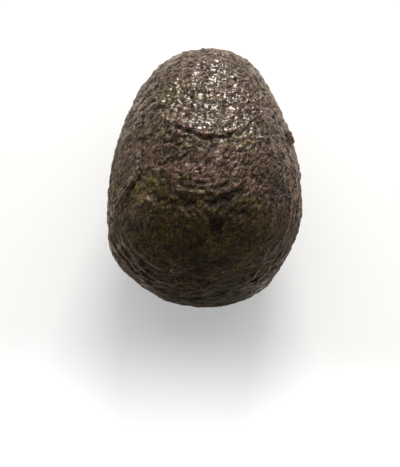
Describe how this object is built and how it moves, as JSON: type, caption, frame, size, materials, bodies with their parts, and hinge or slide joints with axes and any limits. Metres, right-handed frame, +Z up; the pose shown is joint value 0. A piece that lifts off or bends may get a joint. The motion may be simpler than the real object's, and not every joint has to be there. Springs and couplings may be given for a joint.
{
  "type": "avocado",
  "caption": "Whole ripe avocado with dark pebbled skin, lying on its side on a small flat spot, with a dry stem button at the narrow end.",
  "frame": {"origin": "middle of the footprint of the fruit and its stem button, on the surface that the fruit rests on", "axes": "+Y along the fruit towards the stem end, +Z up from the resting surface, +X to the right seen from the blossom end"},
  "size_m": [0.068, 0.1015, 0.0679],
  "materials": {
    "skin": "pebbled, waxy and semi-gloss, dark purple-brown with olive patches",
    "dry_stem": "dry, matt and fibrous"
  },
  "bodies": {
    "root": {"fruit": "skin", "stem_button": "dry_stem"}
  },
  "joints": []
}
